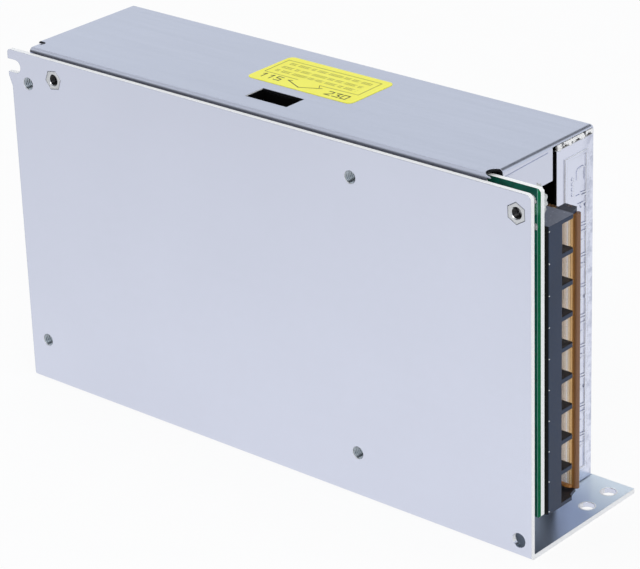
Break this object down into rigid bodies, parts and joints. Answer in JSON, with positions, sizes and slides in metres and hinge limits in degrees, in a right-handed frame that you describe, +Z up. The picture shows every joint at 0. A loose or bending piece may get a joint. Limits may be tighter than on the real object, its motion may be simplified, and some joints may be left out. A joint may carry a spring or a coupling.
{
  "type": "switching power supply",
  "caption": "Flat enclosed power supply: folded sheet case with a screw terminal block and hinged lid at one end, a voltage selector window and threaded fixing holes.",
  "frame": {"origin": "bottom centre of the case, on the outer face of the side wall that it stands on", "axes": "+X along the case to the terminal end, +Y from the base plate's outer face into the case, +Z up, away from the side wall"},
  "size_m": [0.199, 0.05, 0.1121],
  "materials": {
    "sheet": "bright mill finish",
    "cover_sheet": "bright mill finish",
    "steel": "zinc plated",
    "film": "pressed board",
    "board": "green solder mask",
    "nylon": "natural nylon",
    "block": "moulded, fine grain",
    "contact": "tinned",
    "lid": "tinted, smooth",
    "black_plastic": "moulded",
    "label": "printed film",
    "blue_plastic": "moulded",
    "white_plastic": "moulded",
    "lens": "tinted lens",
    "fuse_glass": "clear",
    "plated": "plated",
    "yellow_plastic": "moulded",
    "thermistor": "coated",
    "ferrite": "sintered",
    "winding": "enamelled",
    "tape": "yellow tape",
    "sleeve": "shrink sleeve",
    "spreader": "sawn bar",
    "pad": "silicone pad"
  },
  "bodies": {
    "case": {"board_screws": "steel", "board_spacers": "nylon", "bridge_rectifier": "black_plastic", "bulk_capacitor_1": "sleeve", "bulk_capacitor_2": "sleeve", "chassis": "sheet", "circuit_board": "board", "clamp_plates": "steel", "clamp_screws": "steel", "controller_chip": "black_plastic", "cover": "cover_sheet", "cover_screws": "steel", "driver_coil": "tape", "driver_core": "ferrite", "fuse_caps": "plated", "fuse_clips": "steel", "fuse_tube": "fuse_glass", "hex_standoffs": "steel", "insulation_sheet": "film", "line_capacitor": "yellow_plastic", "line_filter_coil_lower": "winding", "line_filter_coil_upper": "winding", "line_filter_core": "ferrite", "output_capacitor_1": "sleeve", "output_capacitor_2": "sleeve", "output_capacitor_3": "sleeve", "output_choke_core": "ferrite", "output_choke_winding": "winding", "output_clamp_bar": "steel", "output_diode_1": "black_plastic", "output_diode_2": "black_plastic", "output_heat_spreader": "spreader", "output_insulating_pads": "pad", "primary_clamp_bar": "steel", "primary_heat_spreader": "spreader", "primary_insulating_pads": "pad", "primary_transistor_1": "black_plastic", "primary_transistor_2": "black_plastic", "selector_body": "black_plastic", "selector_label": "label", "status_light": "lens", "terminal_block": "block", "terminal_contacts": "contact", "terminal_screws": "steel", "thermistor": "thermistor", "transformer_bobbin": "white_plastic", "transformer_core": "ferrite", "transformer_winding": "tape", "trimmer_body": "blue_plastic"},
    "lid": {"terminal_lid": "lid"},
    "slider": {"selector_slider": "black_plastic"},
    "rotor": {"trimmer_rotor": "white_plastic"}
  },
  "joints": [
    {"name": "lid_hinge", "type": "hinge", "parent": "case", "child": "lid", "pos_m": [0.0942, -0.0003, 0.05425], "axis": [0, 0, -1], "range_deg": [0, 105]},
    {"name": "selector_slide", "type": "slide", "parent": "case", "child": "slider", "axis": [1, 0, 0], "range_m": [0, 0.0074]},
    {"name": "trimmer_turn", "type": "hinge", "parent": "case", "child": "rotor", "pos_m": [0.0887, -0.0137, 0.1017], "axis": [0, 1, 0], "range_deg": [-135, 135]}
  ]
}
